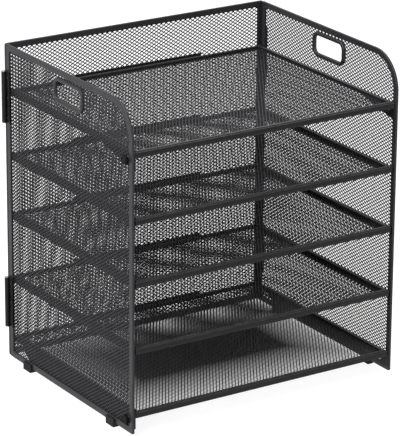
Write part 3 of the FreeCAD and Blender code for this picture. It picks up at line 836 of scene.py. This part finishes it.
@dataclass
class LeafRivets:
    """The domed rivets that hold a hinge leaf to the rim of a side panel."""

    side: Side
    part: str
    radius: float = 1.7 * MM
    proud: float = 0.6 * MM
    leaf_face: float = 1.2 * MM
    leaf_middle: float = 2.6 * MM
    rows: tuple[float, ...] = (-0.78, 0.0, 0.78)

    def build(self) -> None:
        """Make the rivets on the outer face of the leaf."""
        low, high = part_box(f"{self.side.word}_{self.part}_hinge_leaf")
        rim_low, rim_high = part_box(f"{self.side.word}_panel_rim")
        sign = self.side.value
        face = max(abs(rim_low.x), abs(rim_high.x)) + self.leaf_face
        shape = bmesh.new()
        for row in self.rows:
            start = (low.z + high.z) / 2 + row * (high.z - low.z) / 2
            ball = bmesh.ops.create_uvsphere(shape, u_segments=20, v_segments=10, radius=self.radius)
            dome = ball["verts"]
            bmesh.ops.scale(shape, vec=(self.proud / self.radius, 1, 1), verts=dome)
            bmesh.ops.translate(shape, vec=(sign * face, low.y + self.leaf_middle, start), verts=dome)
        made = solid(shape, f"{self.side.word}_{self.part}_rivets", HINGE_COAT)
        smooth(made)
        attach(made, f"{self.side.word}_side")
        LOG.info("made %s", made.name)


@dataclass
class RearPanel:
    """The rear panel with its stop strips."""

    mesh: ExpandedMesh
    tiers: int = 5

    def build(self, nodes: dict[str, bpy.types.Object]) -> None:
        """Dress the rim and the strips and make the mesh in two halves.

        Args:
            nodes: The loaded nodes by name.
        """
        dress(nodes, ["rear_panel_rim"], PANEL_COAT)
        dress(nodes, [f"rear_stop_{tier + 1}" for tier in range(self.tiers)], BRACKET_COAT)
        centre, half = middle_of("rear_panel_mesh")
        shape = self.mesh.cells(half.x, half.z)
        self.mesh.open_gaps(shape)
        self.mesh.trim(shape, half.x, half.z)
        for side in Side:
            part = shape.copy()
            bmesh.ops.bisect_plane(part, geom=everything(part), plane_co=(0, 0, 0),
                                   plane_no=(-side.value, 0, 0), clear_outer=True)
            self.mesh.finish(part, Spread.REAR, centre)
            sheet = solid(part, f"rear_mesh_{side.word}_half", MESH_COAT)
            settle(sheet, "rear_frame", "rear_panel_mesh")
        shape.free()


@dataclass
class Tray:
    """A tray: folded rim and mesh floor."""

    label: str
    body: str
    mesh: ExpandedMesh

    def build(self, nodes: dict[str, bpy.types.Object]) -> None:
        """Fold the rim and make the mesh floor.

        Args:
            nodes: The loaded nodes by name; not used.
        """
        FoldedRim(self.label, self.body).build()
        node = f"{self.label}_mesh"
        centre, half = middle_of(node)
        shape = self.mesh.cells(half.y, half.x)
        self.mesh.open_gaps(shape)
        self.mesh.trim(shape, half.y, half.x)
        self.mesh.finish(shape, Spread.FLOOR, centre)
        floor = solid(shape, f"{self.label}_floor", MESH_COAT)
        settle(floor, self.body, node)


@dataclass
class FixedTray(Tray):
    """A tray that is screwed to the side panels through its side plates."""

    def build(self, nodes: dict[str, bpy.types.Object]) -> None:
        """Dress the side plates and nuts as well as the tray.

        Args:
            nodes: The loaded nodes by name.
        """
        super().build(nodes)
        dress(nodes, [f"{self.label}_{side.word}_plate" for side in Side], BRACKET_COAT)
        dress(nodes, [f"{self.label}_nuts"], PLATE)


@dataclass
class SidePanel:
    """A side panel with its hand hole, runners, screws, hinges and feet."""

    side: Side
    mesh: ExpandedMesh
    corner_reach: float = 35.5 * MM
    front_corner: float = 39.0 * MM
    hand_lip: float = 2.8 * MM
    eyelet_bore: float = 3.2 * MM
    body: str = field(init=False)

    def __post_init__(self) -> None:
        """Work out the name of the body that the panel's pieces ride on."""
        self.body = f"{self.side.word}_side"

    def build(self, nodes: dict[str, bpy.types.Object]) -> None:
        """Dress and make every piece of the panel.

        Args:
            nodes: The loaded nodes by name.
        """
        word = self.side.word
        dress(nodes, [f"{word}_panel_rim"], PANEL_COAT)
        HandLip(self.side).build()
        dress(nodes, [f"{word}_runner_{level}" for level in LEVELS], BRACKET_COAT)
        for end in ("front", "rear"):
            RubberFoot(self.side, end).build()
        dress(nodes, [f"{word}_screw_eyelets"], PLATE)
        for part in ("lower", "upper"):
            ThumbScrew(self.side, part).build()
            LeafRivets(self.side, part).build()
            dress(nodes, [f"{word}_{part}_hinge_leaf", f"{word}_{part}_hinge_bracket"], HINGE_COAT)
            dress(nodes, [f"{word}_{part}_hinge_pin"], PLATE)
        self.make_sheet()

    def make_sheet(self) -> None:
        """Make the panel's mesh, open at the hand hole and round the screws."""
        word = self.side.word
        centre, half = middle_of(f"{word}_panel_mesh")
        shape = self.mesh.cells(half.y, half.z)
        self.round_corner(shape, half)
        self.mesh.open_gaps(shape)
        self.mesh.trim(shape, half.y, half.z)
        hole, hole_half = middle_of(f"{word}_handle_rim")
        lip = Vector((hole_half.y - self.hand_lip, hole_half.z - self.hand_lip))
        self.mesh.window(shape, Vector((hole.y - centre.y, hole.z - centre.z)), lip)
        for part in ("lower", "upper"):
            spot, _ = middle_of(f"{word}_{part}_thumb_screw")
            bore = Vector((self.eyelet_bore, self.eyelet_bore))
            self.mesh.window(shape, Vector((spot.y - centre.y, spot.z - centre.z)), bore)
        self.mesh.finish(shape, Spread.SIDE, centre)
        sheet = solid(shape, f"{word}_mesh_sheet", MESH_COAT)
        settle(sheet, self.body, f"{word}_panel_mesh")

    def round_corner(self, shape: bmesh.types.BMesh, half: Vector) -> None:
        """Take away the diamonds that lie beyond the rounded front top corner.

        Args:
            shape: The flat sheet, changed in place.
            half: Half the sheet's size.
        """
        turn = Vector((-half.y + self.front_corner, half.z - self.front_corner, 0))
        beyond = []
        for face in shape.faces:
            away = face.calc_center_median() - turn
            if away.x < 0 < away.y and away.length > self.corner_reach:
                beyond.append(face)
        bmesh.ops.delete(shape, geom=beyond, context="FACES")


@dataclass
class Studio:
    """The pale floor, the soft lamps and the camera at the photograph's angle.

    Each lamp has a name, a place, a side in metres and a power in watts. Then come the middle of the
    floor's patch that doesn't glow, a painted shadow under the tower, half its size and its soft
    edge.
    """

    azimuth: float = -32.952
    elevation: float = 19.575
    roll: float = 0.405
    place: tuple[float, float, float] = (-1.604086, -2.475143, 1.215693)
    lens: float = 269.695
    sensor: float = 36.0
    lamps: tuple[tuple[str, tuple[float, float, float], float, float], ...] = (
        ("key", (-1.7, -0.65, 1.45), 1.2, 52.0),
        ("top", (0.1, 0.1, 2.3), 1.1, 34.0),
        ("front", (0.6, -3.2, 2.2), 2.0, 22.0))
    aim_height: float = 0.18
    ambient: float = 0.25
    floor_tone: float = 0.36
    floor_roughness: float = 0.9
    floor_half: float = 12.0
    # A painted shadow under the tower: the middle, half size and soft edge of the patch where the
    # floor doesn't glow.
    painted_shadow_centre: tuple[float, float] = (0.02, 0.04)
    painted_shadow_half: tuple[float, float] = (0.16, 0.11)
    painted_shadow_fade: float = 0.07
    glow: float = 0.88

    def build(self) -> None:
        """Make the camera, the floor, the world and the lamps."""
        self.camera()
        self.floor()
        self.world()
        for name, place, size, power in self.lamps:
            self.lamp(name, place, size, power)

    def camera(self) -> None:
        """Stand the camera where the photograph was taken from."""
        turn = math.radians(self.azimuth)
        rise = math.radians(self.elevation)
        flat = math.cos(rise)
        back = Vector((math.sin(turn) * flat, -math.cos(turn) * flat, math.sin(rise)))
        right = (-back).cross(Vector((0, 0, 1))).normalized()
        up = right.cross(-back)
        pose = Matrix((right, up, back)).transposed().to_4x4()
        tilt = Matrix.Rotation(math.radians(self.roll), 4, "Z")
        data = bpy.data.cameras.new("camera")
        data.sensor_fit = "HORIZONTAL"
        data.sensor_width = self.sensor
        data.lens = self.lens
        data.clip_end = 100.0
        item = bpy.data.objects.new("camera", data)
        item.matrix_world = Matrix.Translation(self.place) @ pose @ tilt
        bpy.context.scene.collection.objects.link(item)
        bpy.context.scene.camera = item

    def floor(self) -> None:
        """Lay a floor that looks white, keeps the tower's soft shadow and has a painted shadow under
        the tower.
        """
        shape = bmesh.new()
        bmesh.ops.create_grid(shape, x_segments=1, y_segments=1, size=self.floor_half)
        data = bpy.data.meshes.new("floor")
        shape.to_mesh(data)
        shape.free()
        item = bpy.data.objects.new("floor", data)
        bpy.context.scene.collection.objects.link(item)
        made = bpy.data.materials.new("floor_white")
        made.use_nodes = True
        graph = Graph(made.node_tree)
        shader = made.node_tree.nodes["Principled BSDF"]
        tone = (self.floor_tone, self.floor_tone, self.floor_tone, 1.0)
        graph.feed(shader, Base_Color=tone, Roughness=self.floor_roughness, Specular_IOR_Level=0.0)
        # No glow in a patch under the tower: a painted shadow.
        glow = graph.combine("MULTIPLY", self.seen(graph), self.outside(graph))
        graph.feed(shader, Emission_Color=WHITE, Emission_Strength=glow)
        data.materials.append(made)

    def seen(self, graph: Graph) -> bpy.types.NodeSocket:
        """Return 1 for rays that show the backdrop straight, in a reflection or through glass.

        Args:
            graph: The node tree that asks.

        Returns:
            The socket that carries 0 or 1.
        """
        path = graph.add("LightPath")
        total = path.outputs["Is Camera Ray"]
        for kind in ("Is Glossy Ray", "Is Transmission Ray"):
            total = graph.combine("MAXIMUM", total, path.outputs[kind])
        return total

    def outside(self, graph: Graph) -> bpy.types.NodeSocket:
        """Return the floor's glow: none in a patch under the tower, which is a painted shadow, and
        full around it.

        Args:
            graph: The floor's node tree.

        Returns:
            The socket that carries the strength.
        """
        middle = graph.add("VectorMath", operation="SUBTRACT")
        graph.tree.links.new(graph.add("TexCoord").outputs["Object"], middle.inputs[0])
        middle.inputs[1].default_value = (*self.painted_shadow_centre, 0.0)
        away = graph.add("VectorMath", operation="ABSOLUTE")
        graph.tree.links.new(middle.outputs["Vector"], away.inputs[0])
        beyond = graph.add("VectorMath", operation="SUBTRACT")
        graph.tree.links.new(away.outputs["Vector"], beyond.inputs[0])
        beyond.inputs[1].default_value = (*self.painted_shadow_half, 0.0)
        parts = graph.feed(graph.add("SeparateXYZ"), Vector=beyond.outputs["Vector"])
        far = graph.combine("MAXIMUM", parts.outputs["X"], parts.outputs["Y"])
        return graph.remap(far, found=(-self.painted_shadow_fade, 0.0), wanted=(0.0, self.glow))

    def world(self) -> None:
        """Make a world that looks white and lights softly."""
        world = bpy.data.worlds.new("studio")
        world.use_nodes = True
        bpy.context.scene.world = world
        graph = Graph(world.node_tree)
        back = world.node_tree.nodes["Background"]
        level = graph.remap(self.seen(graph), found=(0.0, 1.0), wanted=(self.ambient, 1.0))
        graph.feed(back, Color=WHITE, Strength=level)

    def lamp(self, name: str, place: tuple[float, float, float], size: float, power: float) -> None:
        """Hang a square soft lamp that faces the tower.

        Args:
            name: The lamp's name.
            place: Where it hangs.
            size: Its side.
            power: Its strength in watts.
        """
        data = bpy.data.lights.new(name, "AREA")
        data.size = size
        data.energy = power
        item = bpy.data.objects.new(name, data)
        aim = Vector((0, 0, self.aim_height)) - Vector(place)
        turn = aim.to_track_quat("-Z", "Y").to_matrix().to_4x4()
        item.matrix_world = Matrix.Translation(place) @ turn
        bpy.context.scene.collection.objects.link(item)


def main() -> None:
    """Load the tower, dress it and set up the studio."""
    logging.basicConfig(level=logging.INFO)
    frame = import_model()
    nodes = frame["nodes"]
    scene = bpy.context.scene
    scene.view_settings.view_transform = "Standard"
    mesh = ExpandedMesh()
    Studio().build()
    RearPanel(mesh).build(nodes)
    for label in ("bottom_tray", "top_tray"):
        FixedTray(label, "rear_frame", mesh).build(nodes)
    for level in LEVELS:
        Tray(f"sliding_tray_{level}", f"sliding_tray_{level}", mesh).build(nodes)
    for side in Side:
        SidePanel(side, mesh).build(nodes)


if __name__ == "__main__":
    main()
